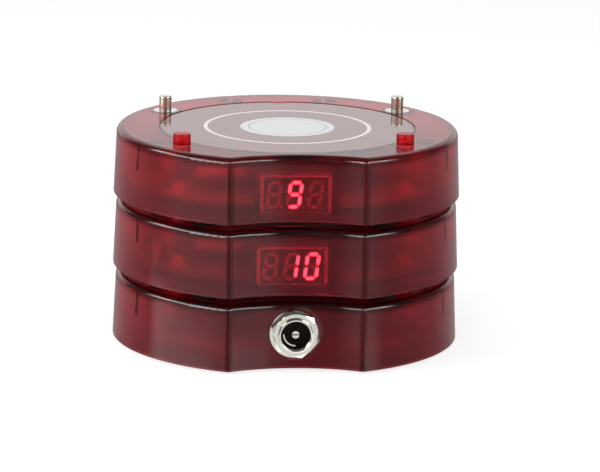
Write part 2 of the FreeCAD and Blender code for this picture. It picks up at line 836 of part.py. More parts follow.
# ---------------------------------------------------------------- display
def display_module(unit):
    """Light grey display case with a sunk dark window."""
    shift = DISPLAY_SHIFT[unit]
    case_foot = DISPLAY_LIFT[unit] + " + display_foot"
    foot = DISPLAY_LIFT[unit] + " + window_foot"
    body = new_body("display")
    case = rectangle(sketch(body, "case_sketch", "XZ_Plane", "display_front"),
                     shift + " - display_wide / 2", case_foot,
                     shift + " + display_wide / 2", case_foot + " + display_high")
    add_feature(body, "Pad", "case", case, "display_deep", upwards=True)
    window = rectangle(sketch(body, "window_sketch", "XZ_Plane", "display_front"),
                       shift + " - window_wide / 2", foot,
                       shift + " + window_wide / 2", foot + " + window_high")
    pocket_down(body, "window", window, "window_deep")
    settle(unit, "display_module", body)


def segment_outline(letter):
    """Six corners of one segment about the middle of its digit, leaning to the right."""
    column, row, upright = SEGMENTS[letter]
    half = number("segment_wide / 2")
    span_x = number("(digit_wide - segment_wide) / 2")
    span_z = number("(digit_high - segment_wide) / 2")
    reach = (span_z / 2 if upright else span_x) - number("segment_gap")
    corners = []
    for along, off in ((-1, 0), (-1, 1), (1, 1), (1, 0), (1, -1), (-1, -1)):
        run = along * (reach - half * abs(off))
        across, up = (off * half, run) if upright else (run, off * half)
        corners.append((column * span_x + across, row * span_z + up))
    lean = math.tan(math.radians(number("digit_slant")))
    return [(across + up * lean, up) for across, up in corners]


def display_segments(unit):
    """Lit segments, thin plates on the window."""
    plates = []
    front = -number("display_front - window_deep + segment_thick")
    middle = number(DISPLAY_SHIFT[unit] + " + digit_aside")
    height = number(DISPLAY_LIFT[unit] + " + window_foot + window_high / 2")
    for place, figure in SHOWN[unit]:
        for letter in FIGURES[figure]:
            points = [Vector(middle + place * number("digit_pitch") + across, front,
                             height + up)
                      for across, up in segment_outline(letter)]
            face = Part.Face(Part.makePolygon(points + points[:1]))
            plates.append(face.extrude(Vector(0, number("segment_thick"), 0)))
    item = DOC.addObject("Part::Feature", "segments")
    item.Shape = Part.makeCompound(plates)
    settle(unit, "display_segments", item)


# ---------------------------------------------------------------- power jack
def front_tube(name, outer, inner, front, back):
    """Tube about the jack's axis between two depths behind the front."""
    place = ("0", "0 - " + back, "jack_height", TOWARDS_FRONT)
    length = "%s - %s" % (front, back)
    return cut(name, cylinder(name + "_outside", outer, length, *place),
               cylinder(name + "_inside", inner, length, *place))


def jack_barrel():
    """Threaded barrel with the shoulder that bears on the inside of the wall."""
    barrel = front_tube("barrel", "barrel_radius", "barrel_bore", "barrel_front",
                        "barrel_back")
    shoulder = front_tube("barrel_shoulder", "jack_shoulder", "barrel_bore",
                          "shoulder_front", "shoulder_back")
    settle("base", "jack_barrel", fuse("jack_barrel", barrel, shoulder))


def jack_nut():
    """Hexagon nut with its front rim chamfered to a circle."""
    corner = "nut_across_flats / (2 * cos(30deg))"
    prism = DOC.addObject("Part::Prism", "nut_prism")
    prism.Polygon = 6
    bind(prism, "Circumradius", corner)
    bind(prism, "Height", "nut_thick")
    spin = Rotation(Vector(0, 0, 1), number("nut_turn"))
    rear = "0 - jack_seat - washer_thick"
    put(prism, "0", rear, "jack_height", TOWARDS_FRONT.multiply(spin))
    chamfer = DOC.addObject("Part::Cone", "nut_chamfer")
    bind(chamfer, "Radius1", "nut_across_flats / 2 + nut_thick / tan(nut_chamfer * 1deg)")
    bind(chamfer, "Radius2", "nut_across_flats / 2")
    bind(chamfer, "Height", "nut_thick")
    put(chamfer, "0", rear, "jack_height", TOWARDS_FRONT)
    rounded = DOC.addObject("Part::MultiCommon", "nut_block")
    rounded.Shapes = [prism, chamfer]
    bore = cylinder("nut_bore", "barrel_radius + thread_play", "nut_thick", "0", rear,
                    "jack_height", TOWARDS_FRONT)
    settle("base", "jack_nut", cut("jack_nut", rounded, bore))


def jack_washer():
    """Flat washer with a large hole, hanging to one side of the barrel."""
    place = ("washer_shift", "0 - jack_seat", "jack_height + washer_lift", TOWARDS_FRONT)
    disc = cylinder("washer_disc", "washer_radius", "washer_thick", *place)
    hole = cylinder("washer_hole_cut", "washer_hole", "washer_thick", *place)
    settle("base", "jack_washer", cut("jack_washer", disc, hole))


def jack_inside():
    """Insulator, and the two contacts: slotted centre pin and side leaf."""
    hole = "centre_pin_shank + thread_play"
    plug = front_tube("plug", "barrel_bore - thread_play", hole, "plug_front",
                      "barrel_back")
    rear = front_tube("plug_rear", "barrel_radius", hole, "barrel_back", "plug_back")
    settle("base", "jack_insulator", fuse("jack_insulator", plug, rear))
    rod = cylinder("centre_pin_rod", "centre_pin_radius", "centre_pin_front - plug_front",
                   "0", "0 - plug_front", "jack_height", TOWARDS_FRONT)
    shank = cylinder("centre_pin_tail", "centre_pin_shank",
                     "plug_front - plug_back + tail_long", "0", "tail_long - plug_back",
                     "jack_height", TOWARDS_FRONT)
    pin = fuse("centre_pin_solid", rod, shank)
    slot = box("centre_pin_slot", "centre_pin_radius * 3", "slot_deep * 2", "slot_high",
               "0", "0 - centre_pin_front", "jack_height - slot_high / 2")
    centre_pin = cut("centre_pin", pin, slot)
    sheet = front_tube("leaf_sheet", "leaf_outer", "leaf_inner", "leaf_front", "plug_front")
    quarter = box("leaf_quarter", "leaf_outer", "leaf_front", "leaf_outer",
                  "0 - leaf_outer / 2", "0 - leaf_front", "jack_height - leaf_outer")
    leaf = DOC.addObject("Part::MultiCommon", "leaf_strip")
    leaf.Shapes = [sheet, quarter]
    settle("base", "jack_contacts", group("jack_contacts", centre_pin, leaf))


def power_leads():
    """Two insulated leads that curve from the jack's rear down to the board."""
    leads = []
    for name, across in (("lead_plus", "lead_across"), ("lead_minus", "-lead_across")):
        bend = DOC.addObject("Part::Torus", name)
        bind(bend, "Radius1", "jack_height - " + BOARD_TOP)
        bind(bend, "Radius2", "lead_radius")
        bend.Angle3 = 90
        put(bend, across, "0 - plug_back", BOARD_TOP, Rotation(Vector(1, 1, 1), 120))
        leads.append(bend)
    settle("base", "power_leads", group("power_leads", *leads))


def charge_components():
    """Regulator, charge controller, coil and capacitors of the base."""
    parts = [on_board(name) for name in ("regulator", "charge_chip", "coil")]
    parts += [can_on_board("input_capacitor"), can_on_board("output_capacitor")]
    settle("base", "charge_components", group("charge_components", *parts))


def anti_slip_ring():
    """Thin rubber ring that the whole stack stands on."""
    outside = cylinder("ring_outside", "ring_outer", "base_foot + foot_sink", "0", "0",
                       "0 - base_foot")
    inside = cylinder("ring_inside", "ring_inner", "base_foot + foot_sink", "0", "0",
                      "0 - base_foot")
    settle("base", "anti_slip_ring", cut("anti_slip_ring", outside, inside))


# ---------------------------------------------------------------- units
def contacts_and_pegs(unit):
    for side, sign in (("left", "-"), ("right", "")):
        charge_pin(unit, side, sign)
        pin_spring(unit, side, sign)
    pin_bushes(unit)
    locating_pegs(unit)
    housing_screws(unit)


def pager(unit):
    shell = top_shell(unit)
    add_label_recess(shell)
    settle(unit, "top_shell", shell)
    settle(unit, "bottom_cover", bottom_cover(unit, stacked=True))
    label = turned_body("label", ("0", "shell_height - recess_depth"),
                        ("label_radius", "shell_height - recess_depth"),
                        ("label_radius", "shell_height - recess_depth + label_thick"),
                        ("0", "shell_height - recess_depth + label_thick"))
    bite = circle(sketch(label, "label_key", offset="shell_height"), "0", "key_reach",
                  "key_radius + recess_radius - label_radius")
    pocket_down(label, "key_bite", bite, "wall")
    settle(unit, "label_disc", label)
    contacts_and_pegs(unit)
    rubber_feet(unit)
    contact_studs(unit)
    circuit_board(unit, "display_gate_half", "display_slot_front", "main_board")
    board_components(unit)
    battery(unit)
    vibration_motor(unit)
    motor_weight(unit)
    buzzer(unit)
    indicator_lamps(unit)
    display_module(unit)
    display_segments(unit)


def charging_base():
    shell = top_shell("base")
    add_jack_seat(shell)
    settle("base", "top_shell", shell)
    settle("base", "bottom_cover", bottom_cover("base", stacked=False))
    contacts_and_pegs("base")
    circuit_board("base", "jack_slot_half", "jack_slot_front", "charge_board")
    charge_components()
    jack_barrel()
    jack_nut()
    jack_washer()
    jack_inside()
    power_leads()
    anti_slip_ring()


def check_and_write():
    """Stop on any failed object, then write every piece to its own file."""
    DOC.recompute()
    for item in DOC.Objects:
        if "Invalid" in item.State or "Error" in item.State:
            raise RuntimeError("%s failed: %s" % (item.Label, item.State))
    os.makedirs("parts", exist_ok=True)
    for item in NODES:
        if item.Shape.isNull() or not item.Shape.isValid():
            raise RuntimeError("%s has a bad shape" % item.Label)
        item.Shape.exportStep("parts/%s.step" % item.Label)
    print("%d pieces written" % len(NODES))


fill_sheet()
charging_base()
pager("lower")
pager("upper")
check_and_write()
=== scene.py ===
"""Finishes, fine pieces and a small studio for a charging stack of round guest pagers.

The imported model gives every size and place. Each operator dresses one group of pieces, and
each finished piece rides on the body that carries it. Lengths are in metres, +Z is up, and
the concave front faces -Y.
"""

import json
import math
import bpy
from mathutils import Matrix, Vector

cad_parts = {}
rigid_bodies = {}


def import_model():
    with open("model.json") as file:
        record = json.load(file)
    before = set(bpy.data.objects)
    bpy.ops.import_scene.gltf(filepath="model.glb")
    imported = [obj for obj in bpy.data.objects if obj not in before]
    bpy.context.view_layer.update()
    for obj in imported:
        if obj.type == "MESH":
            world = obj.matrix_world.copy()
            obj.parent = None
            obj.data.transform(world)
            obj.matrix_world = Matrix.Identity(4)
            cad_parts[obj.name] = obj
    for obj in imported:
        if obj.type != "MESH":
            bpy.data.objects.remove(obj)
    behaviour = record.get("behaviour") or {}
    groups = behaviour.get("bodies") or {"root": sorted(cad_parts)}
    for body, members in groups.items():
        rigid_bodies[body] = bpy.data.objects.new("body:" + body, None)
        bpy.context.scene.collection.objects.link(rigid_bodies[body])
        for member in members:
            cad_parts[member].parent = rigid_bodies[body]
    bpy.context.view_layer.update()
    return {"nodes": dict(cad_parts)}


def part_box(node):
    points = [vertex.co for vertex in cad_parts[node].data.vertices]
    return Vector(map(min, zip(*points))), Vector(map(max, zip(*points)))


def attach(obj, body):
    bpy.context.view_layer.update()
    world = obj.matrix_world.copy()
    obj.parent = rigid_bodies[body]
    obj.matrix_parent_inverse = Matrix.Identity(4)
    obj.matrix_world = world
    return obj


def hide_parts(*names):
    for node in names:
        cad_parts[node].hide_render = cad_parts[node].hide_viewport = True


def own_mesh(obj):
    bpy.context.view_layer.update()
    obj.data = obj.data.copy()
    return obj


bl_info = {
    "name": "Pager Stack",
    "version": (1, 0, 0),
    "blender": (4, 5, 0),
    "location": "3D View > Sidebar > Pager Stack",
    "description": "Dresses a charging stack of round guest pagers and its studio",
    "category": "Object",
}

from functools import reduce

import bmesh
import bpy
from bpy.props import FloatProperty, FloatVectorProperty, IntProperty, PointerProperty
from mathutils import Matrix, Vector

MM = 0.001
CRISP_ANGLE = math.radians(32)
STACK = {"base": "base", "lower": "lower_pager", "upper": "upper_pager"}
PAGERS = ("lower", "upper")
SIDES = ("left", "right")
# Lit figures by place from the left (-1, 0, 1), and the segments that each figure lights.
SHOWN = {"lower": {0: "1", 1: "0"}, "upper": {0: "9"}}
FIGURES = {"9": "abcdfg", "1": "bc", "0": "abcdef", " ": ""}
# Middle of each segment in half digits across and up, and whether it stands upright.
SEGMENTS = {"a": (0, 1, False), "b": (1, 0.5, True), "c": (1, -0.5, True),
            "d": (0, -1, False), "e": (-1, -0.5, True), "f": (-1, 0.5, True),
            "g": (0, 0, False)}
# Lit sectors in mirrors, in degrees towards the camera's right: middle, width, softness.
STRIPS = ((-68, 80, 12), (54, 52, 12))
POOLS = ((-57, 54, 26), (42, 44, 26))
GLEAMS = ((-72, 52, 12), (47, 34, 12))
# Lamps: name, place and width.
LAMPS = (("top", (0.0, 0.10, 0.75), 0.55), ("left", (-0.75, -0.15, 0.55), 0.5),
         ("right", (0.75, -0.15, 0.55), 0.5), ("front", (-0.15, -0.85, 0.40), 0.5))
# Plain plastics: name, colour, roughness, gloss and the pieces made of each.
PLASTICS = (
    ("black_rubber", (0.008, 0.007, 0.007), 0.9, 0.12, ("rubber_feet", "anti_slip_ring")),
    ("black_parts", (0.028, 0.028, 0.03), 0.45, 0.5,
     ("board_components", "charge_components", "buzzer")),
    ("jack_core", (0.010, 0.006, 0.003), 0.4, 0.2, ("jack_insulator",)),
    ("lead_cover", (0.5, 0.02, 0.02), 0.5, 0.5, ("power_leads",)),
    ("cell_wrap", (0.62, 0.62, 0.64), 0.35, 0.5, ("battery",)))

for leftover in list(bpy.data.objects):
    bpy.data.objects.remove(leftover)
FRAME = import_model()
NODES = FRAME["nodes"]


def half_width(node):
    low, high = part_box(node)
    return (high.x - low.x) / 2


def middle(node, **fixed):
    """Centre of a node's box, with some of its coordinates given."""
    low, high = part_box(node)
    centre = (low + high) / 2
    for axis, value in fixed.items():
        setattr(centre, axis, value)
    return centre


# ---------------------------------------------------------------- settings
def number(description, default, **kind):
    return FloatProperty(description=description, default=default, **kind)


def length(description, default, low=0.0, high=1.0):
    return number(description, default, min=low, max=high, subtype="DISTANCE",
                  unit="LENGTH", precision=5)


def share(description, default, high=1.0):
    return number(description, default, min=0.0, max=high)


def angle(description, degrees):
    return number(description, math.radians(degrees), subtype="ANGLE")


def power(description, default):
    return number(description, default, min=0.0, unit="POWER")


def tint(description, default):
    return FloatVectorProperty(description=description, default=default, size=3,
                               min=0.0, max=1.0, subtype="COLOR")


def labelled(group):
    """Show each setting of a group under its own name."""
    for key, setting in group.__annotations__.items():
        setting.keywords["name"] = key.replace("_", " ").capitalize()
    return group


@labelled
class HousingSettings(bpy.types.PropertyGroup):
    bite_centre: length("From the axis forward to the bite's own axis", 0.0852)
    bite_radius: length("Radius of the concave bite at the foot", 0.0433)
    draft: angle("Lean of the moulded walls", 2.6)
    shell_tint: tint("Colour of the translucent shells", (0.82, 0.13, 0.17))
    # Painted shade: a darker colour along the rounded top edge, where the thicker plastic is
    # darker as well.
    edge_tint: tint("Colour along the rounded top edge", (0.28, 0.002, 0.006))
    # Painted shadow: a dark line on the shell round each label.
    seat_width: length("Width of the dark line round a label", 0.0008)
    # Painted shade: a darker colour along the two creases of the front, also used for that
    # shadow round each label.
    corner_tint: tint("Colour along the two corners of the front", (0.26, 0.001, 0.003))
    cover_tint: tint("Colour of the translucent floors", (0.38, 0.022, 0.032))
    clarity: share("How much of the light passes through the shells", 0.985)
    polish: share("Roughness of the polished outside", 0.045)
    land: share("Extra roughness of the top faces", 0.12)
    frost: share("Roughness of the moulded inside", 0.32)


@labelled
class PegSettings(bpy.types.PropertyGroup):
    colour: tint("Colour of the clear locating pegs", (0.97, 0.008, 0.018))
    # Painted shade: the top of each peg is coloured darker than its side.
    cap_tint: tint("Colour across the top of a peg", (0.62, 0.003, 0.008))
    across: length("From the middle plane to a peg", 0.0316)
    front: length("From the axis forward to the pegs", 0.0248)
    radius: length("Radius of a peg's head", 0.00255)
    shank: length("Radius of a peg's shank in the shell", 0.00275)
    flange: length("Radius of a peg's flange under the shell", 0.00288)
    flange_height: length("Thickness of a peg's flange", 0.0008)
    stand: length("Height of a peg above the shell", 0.0031)
    corner: length("Radius of a head's rounded corner", 0.00030)
    dome: length("Rise of a head's top in the middle", 0.00010)


@labelled
class LabelSettings(bpy.types.PropertyGroup):
    ground: tint("Colour of the label", (0.185, 0.115, 0.110))
    ink: tint("Colour of the printed ring", (0.55, 0.50, 0.50))
    disc: tint("Colour of the printed disc", (0.45, 0.46, 0.47))
    ring_radius: length("Middle of the printed ring", 0.0236)
    ring_width: length("Width of the printed ring", 0.00115)
    disc_radius: length("Radius of the printed disc", 0.0136)
    line_radius: length("Radius of the thin line on the disc", 0.0112)
    line_width: length("Width of the thin line on the disc", 0.0003)
    # Painted shadow: the label's edge is coloured nearly black all round, where it sits below
    # the shell's top.
    edge_width: length("Width of the dark edge all round", 0.0004)
    edge: tint("Colour of the label's edge", (0.020, 0.004, 0.004))


@labelled
class DisplaySettings(bpy.types.PropertyGroup):
    glow: tint("Colour at the rim of the lit segments", (1.0, 0.02, 0.06))
    core: tint("Colour in the middle of the lit segments", (1.0, 0.37, 0.52))
    strength: share("Strength of the lit segments", 3.2, 80.0)
    digit_height: length("Height of a digit", 0.0080)
    digit_width: length("Width of a digit", 0.0043)
    pitch: length("From one digit to the next", 0.0059)
    aside: length("From the case's middle to the middle digit", -0.0003, -0.01)
    slant: angle("Lean of the digits to the right", 7.5)
    segment_width: length("Width of a segment", 0.00108)
    gap: length("From a segment's end to the corner of its digit", 0.00017)
    rim: length("Width of a lit segment's darker rim", 0.00017)
    point_radius: length("Radius of a decimal point", 0.00045)
    case_tint: tint("Colour of the display case", (0.52, 0.50, 0.50))
    window_tint: tint("Colour of the dark window", (0.010, 0.004, 0.005))
    dim_tint: tint("Colour of the unlit segments", (0.42, 0.24, 0.26))


@labelled
class MetalSettings(bpy.types.PropertyGroup):
    nickel: tint("Colour of the plated jack", (0.82, 0.80, 0.72))
    pin_metal: tint("Colour of the plated pins", (0.86, 0.80, 0.66))
    bush_metal: tint("Colour of the plated bushes", (0.90, 0.89, 0.87))
    steel: tint("Colour of screws, springs and cans", (0.58, 0.58, 0.60))
    brass: tint("Colour of the contact studs", (0.72, 0.58, 0.30))
    roughness: share("Roughness of the bright plating", 0.10)
    barrel_radius: length("Outer radius of the jack's barrel", 0.00495)
    barrel_bore: length("Inner radius of the jack's barrel", 0.0040)
    slot_reach: length("Reach of the slot in the jack's pin", 0.0010)
    shoulder: length("Radius of the barrel's shoulder", 0.0063)
    thread_pitch: length("Pitch of the jack's thread", 0.00075)
    thread_depth: length("Depth of the jack's thread", 0.0003)


@labelled
class SpringSettings(bpy.types.PropertyGroup):
    turns: IntProperty(description="Turns of a pin's spring", default=6, min=2, max=20)
    wire: length("Radius of the spring wire", 0.00026)


@labelled
class StudioSettings(bpy.types.PropertyGroup):
    azimuth: angle("Camera turned round the stack", -4.374)
    elevation: angle("Camera above the horizon", 13.034)
    roll: angle("Camera turned about its own axis", 0.967)
    distance: length("From the camera to the middle of the stack", 1.111, high=10.0)
    target_height: length("Height that the camera turns about", 0.0306)
    lens: number("Focal length in millimetres", 229.62, min=10.0, max=600.0)
    shift_x: number("Sideways lens shift", 0.02396)
    shift_y: number("Upright lens shift", -0.00905)
    fill_level: share("Plain level of the light from all round", 0.60, 4.0)
    horizon_level: share("Level of the wall behind in mirrors", 0.76, 4.0)
    strip_level: share("Level of the strip lamps in mirrors", 7.5, 40.0)
    foot_level: share("Level below the strip lamps in mirrors", 0.4)
    low_level: share("Level of the strip lamps' lower ends in mirrors", 1.9, 40.0)
    left_level: share("Level of the left side through clear plastic", 1.0, 4.0)
    right_level: share("Level of the right side through clear plastic", 0.5, 4.0)
    floor_level: share("Level of the floor in mirrors", 0.18, 4.0)
    ceiling_level: share("Level of the upper half in mirrors", 0.12)
    pool_level: share("Level of the lit floor beside the stack", 0.38)
    near_level: share("Level of the floor in front of the jack", 0.74)
    rear_level: share("Level of the floor behind the stack", 0.15)
    under_level: share("Level straight below in mirrors", 0.5)
    top_power: power("Power of the lamp overhead", 2.1)
    left_power: power("Power of the left lamp", 5.0)
    right_power: power("Power of the right lamp", 1.5)
    front_power: power("Power of the front lamp", 5.0)
    floor_tint: tint("Colour of the floor", (0.92, 0.92, 0.92))
    floor_glow: share("How much the floor glows for the camera", 0.7)
    inner_glow: share("How much the floor glows through clear plastic", 0.35)


# ---------------------------------------------------------------- shader building
class Graph:
    """Shorthand for the nodes of a material or a world."""

    def __init__(self, tree):
        self.tree = tree

    def family(self, kind):
        """Prefix of a node's type, which may depend on its kind."""
        return "ShaderNode"

    def node(self, kind, inputs=None, **settings):
        """Add a node, set it up, and link or set its inputs."""
        made = self.tree.nodes.new(self.family(kind) + kind)
        for key, value in settings.items():
            setattr(made, key, value)
        for name, value in (inputs or {}).items():
            self.plug(made.inputs[name], value)
        return made

    def plug(self, socket, value):
        """Link an output to a socket, or set its plain value."""
        if isinstance(value, bpy.types.NodeSocket):
            self.tree.links.new(value, socket)
        elif hasattr(value, "__len__") and len(value) == 3 and socket.type == "RGBA":
            socket.default_value = (*value, 1.0)
        else:
            socket.default_value = value

    def parts(self, vector):
        return self.node("SeparateXYZ", {0: vector}).outputs

    def math(self, operation, first, second=0.0, clamp=False):
        return self.node("Math", {0: first, 1: second}, operation=operation,
                         use_clamp=clamp).outputs[0]

    def total(self, *values):
        return reduce(lambda first, second: self.math("ADD", first, second), values)

    def product(self, *values):
        return reduce(lambda first, second: self.math("MULTIPLY", first, second), values)

    def less(self, *values):
        """First value less all the others."""
        return reduce(lambda first, second: self.math("SUBTRACT", first, second), values)

    def dot(self, direction, fixed):
        return self.node("VectorMath", {0: direction, 1: fixed},
                         operation="DOT_PRODUCT").outputs["Value"]

    def away(self, vector):
        """Distance from the upright axis through the vector's origin."""
        across, back, _ = self.parts(vector)
        return self.math("SQRT", self.total(self.product(across, across),
                                            self.product(back, back)))

    def step(self, value, edge, softness):
        """0 below the edge and 1 above it, with a soft change."""
        return self.node("MapRange", {"Value": value, "From Min": edge - softness / 2,
                                      "From Max": edge + softness / 2},
                         interpolation_type="SMOOTHSTEP").outputs["Result"]

    def drop(self, value, edge, softness):
        """1 below the edge and 0 above it, with a soft change."""
        return self.less(1.0, self.step(value, edge, softness))

    def band(self, value, centre, width, softness):
        """1 inside a band of a value and 0 outside it."""
        inner = self.step(value, centre - width / 2, softness)
        outer = self.step(value, centre + width / 2, softness)
        return self.math("SUBTRACT", inner, outer, clamp=True)

    def span(self, value, low, high, start=0.0):
        """Map start..1 to a range."""
        return self.node("MapRange", {"Value": value, "From Min": start, "To Min": low,
                                      "To Max": high}).outputs["Result"]

    def blend(self, factor, first, second, kind="FLOAT"):
        """First value at factor 0 and second at factor 1."""
        at, out = {"FLOAT": (2, 0), "VECTOR": (4, 1), "RGBA": (6, 2)}[kind]
        return self.node("Mix", {0: factor, at: first, at + 1: second},
                         data_type=kind).outputs[out]

    def mix(self, factor, first, second):
        """First colour at factor 0 and second at factor 1."""
        return self.blend(factor, first, second, "RGBA")

    def seen_by(self, kind):
        """1 for rays of the given kind and 0 for all others."""
        return self.node("LightPath").outputs["Is %s Ray" % kind]


class Finish(Graph):
    """A material with one Principled shader and the nodes that feed it."""

    def __init__(self, name):
        self.material = bpy.data.materials.new(name)
        self.material.use_nodes = True
        super().__init__(self.material.node_tree)
        self.shader = self.tree.nodes["Principled BSDF"]

    def set(self, **values):
        """Set or link sockets of the shader, named with underscores for spaces."""
        for key, value in values.items():
            name = key.replace("_", " ").title().replace("Ior", "IOR")
            self.plug(self.shader.inputs[name], value)

    def coordinates(self, centre=(0.0, 0.0, 0.0), turn=(0.0, 0.0, 0.0)):
        """Object coordinates counted from a centre, in metres."""
        source = self.node("TexCoord").outputs["Object"]
        return self.node("Mapping", {"Vector": source, "Location": centre,
                                     "Rotation": turn}, vector_type="TEXTURE").outputs[0]

    def noise(self, size, detail, roughness=0.5, grain=(1.0, 1.0, 1.0)):
        """Soft noise with features of about the given size, finer along some axes."""
        place = self.node("Mapping", {"Vector": self.coordinates(), "Scale": grain})
        return self.node("TexNoise", {"Vector": place.outputs[0], "Scale": 1.0 / size,
                                      "Detail": detail,
                                      "Roughness": roughness}).outputs["Fac"]

    def upward(self):
        """Upright part of a face's true normal."""
        return self.parts(self.node("NewGeometry").outputs["True Normal"])[2]

    def facets(self, factor):
        """Smooth normal at factor 0 and the true normal of each face at factor 1."""
        geometry = self.node("NewGeometry").outputs
        return self.blend(factor, geometry["Normal"], geometry["True Normal"], "VECTOR")

    def bump(self, height, distance, strength, normal=None):
        inputs = {"Height": height, "Distance": distance, "Strength": strength}
        if normal:
            inputs["Normal"] = normal
        self.set(normal=self.node("Bump", inputs).outputs["Normal"])


def shaded(colour, by):
    return tuple(part * by for part in colour)


def plain_plastic(name, colour, roughness, gloss=0.5):
    """Moulded plastic or rubber: slight colour drift, fine grain."""
    finish = Finish(name)
    drift = finish.noise(0.012, 3.0)
    finish.set(base_color=finish.mix(drift, colour, shaded(colour, 0.85)),
               specular_ior_level=gloss,
               roughness=finish.span(finish.noise(0.004, 3.0), roughness * 0.85,
                                     min(roughness * 1.2, 1.0)))
    finish.bump(finish.noise(0.0006, 2.0), 0.00003, 0.4)
    return finish.material


def plated_metal(name, colour, roughness, grain=(1.0, 1.0, 1.0)):
    """Bright metal with faint tool marks, closer together along axes with more grain."""
    finish = Finish(name)
    marks = finish.noise(0.0008, 3.0, 0.6, grain)
    blush = finish.noise(0.006, 2.0)
    finish.set(base_color=finish.mix(blush, colour, shaded(colour, 0.93)), metallic=1.0,
               roughness=finish.span(marks, roughness * 0.7, roughness * 1.4))
    finish.bump(marks, 0.00002, 0.15)
    return finish.material


# ---------------------------------------------------------------- pieces
def dress(node, material):
    """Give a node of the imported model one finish."""
    for slot in NODES[node].material_slots:
        slot.material = material


def dress_all(material, *endings):
    """Give the named pieces of every unit that has them one finish."""
    for unit in STACK:
        for ending in endings:
            if "%s_%s" % (unit, ending) in NODES:
                dress("%s_%s" % (unit, ending), material)


def new_piece(name, mesh, material, body, slot, *replaced):
    """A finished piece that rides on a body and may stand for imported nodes."""
    piece = bpy.data.objects.new(name, mesh)
    bpy.context.scene.collection.objects.link(piece)
    mesh.materials.append(material)
    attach(piece, body)
    if replaced:
        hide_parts(*replaced)
    return piece


def lathe(mesh, profile, place=(0.0, 0.0, 0.0), facing=None, steps=48, ripple=None):
    """Turn (radius, height) points about an axis. A radius of 0 closes in a point."""
    frame = Matrix.Translation(place) @ (facing or Matrix.Identity(4))
    rings = []
    for radius, height in profile:
        turns = [math.tau * step / steps for step in range(steps if radius else 1)]
        ring = []
        for turn in turns:
            reach = ripple(radius, height, turn) if ripple else radius
            ring.append(mesh.verts.new(frame @ Vector(
                (reach * math.cos(turn), reach * math.sin(turn), height))))
        rings.append(ring)
    for first, second in zip(rings, rings[1:]):
        for step in range(steps):
            corners = [ring[turn % len(ring)] for ring, turn in (
                (first, step), (first, step + 1), (second, step + 1), (second, step))]
            mesh.faces.new(list(dict.fromkeys(corners)))


class Growth(Graph):
    """Shorthand for a Geometry Nodes tree with named inputs."""

    def __init__(self, name, inputs):
        super().__init__(bpy.data.node_groups.new(name, "GeometryNodeTree"))
        for label, kind in inputs:
            self.tree.interface.new_socket(label, in_out="INPUT",
                                           socket_type="NodeSocket" + kind)
        self.tree.interface.new_socket("Geometry", in_out="OUTPUT",
                                       socket_type="NodeSocketGeometry")
        self.given = self.tree.nodes.new("NodeGroupInput").outputs

    def family(self, kind):
        return "ShaderNode" if kind in ("Math", "CombineXYZ") else "GeometryNode"

    def grow(self, kind, inputs):
        """First output of a new node with its inputs given."""
        return self.node(kind, inputs).outputs[0]

    def raised(self, geometry, height):
        shift = self.grow("CombineXYZ", {"Z": height})
        return self.grow("Transform", {"Geometry": geometry, "Translation": shift})

    def close(self, geometry, material):
        """End the tree with real geometry in one material."""
        real = self.grow("RealizeInstances", {"Geometry": geometry})
        painted = self.grow("SetMaterial", {"Geometry": real, "Material": material})
        self.plug(self.tree.nodes.new("NodeGroupOutput").inputs[0], painted)
        return self.tree


def grown(tree, inputs, name):
    """Plain mesh made by a Geometry Nodes tree with the given inputs."""
    holder = bpy.data.objects.new(name, bpy.data.meshes.new(name))
    bpy.context.scene.collection.objects.link(holder)
    modifier = holder.modifiers.new("growth", "NODES")
    modifier.node_group = tree
    for socket in tree.interface.items_tree:
        if socket.in_out == "INPUT":
            modifier[socket.identifier] = inputs[socket.name]
    evaluated = holder.evaluated_get(bpy.context.evaluated_depsgraph_get())
    mesh = bpy.data.meshes.new_from_object(evaluated)
    bpy.data.objects.remove(holder)
    mesh.name = name
    mesh.materials.clear()
    return softened(mesh)


def softened(data):
    """Smooth shading that keeps edges above the crisp angle."""
    data.shade_smooth()
    data.set_sharp_from_angle(angle=CRISP_ANGLE)
    return data


def finished(mesh, name):
    """Turn a bmesh with its faces outwards into a mesh, and free it."""
    bmesh.ops.recalc_face_normals(mesh, faces=mesh.faces[:])
    data = bpy.data.meshes.new(name)
    mesh.to_mesh(data)
    mesh.free()
    return data


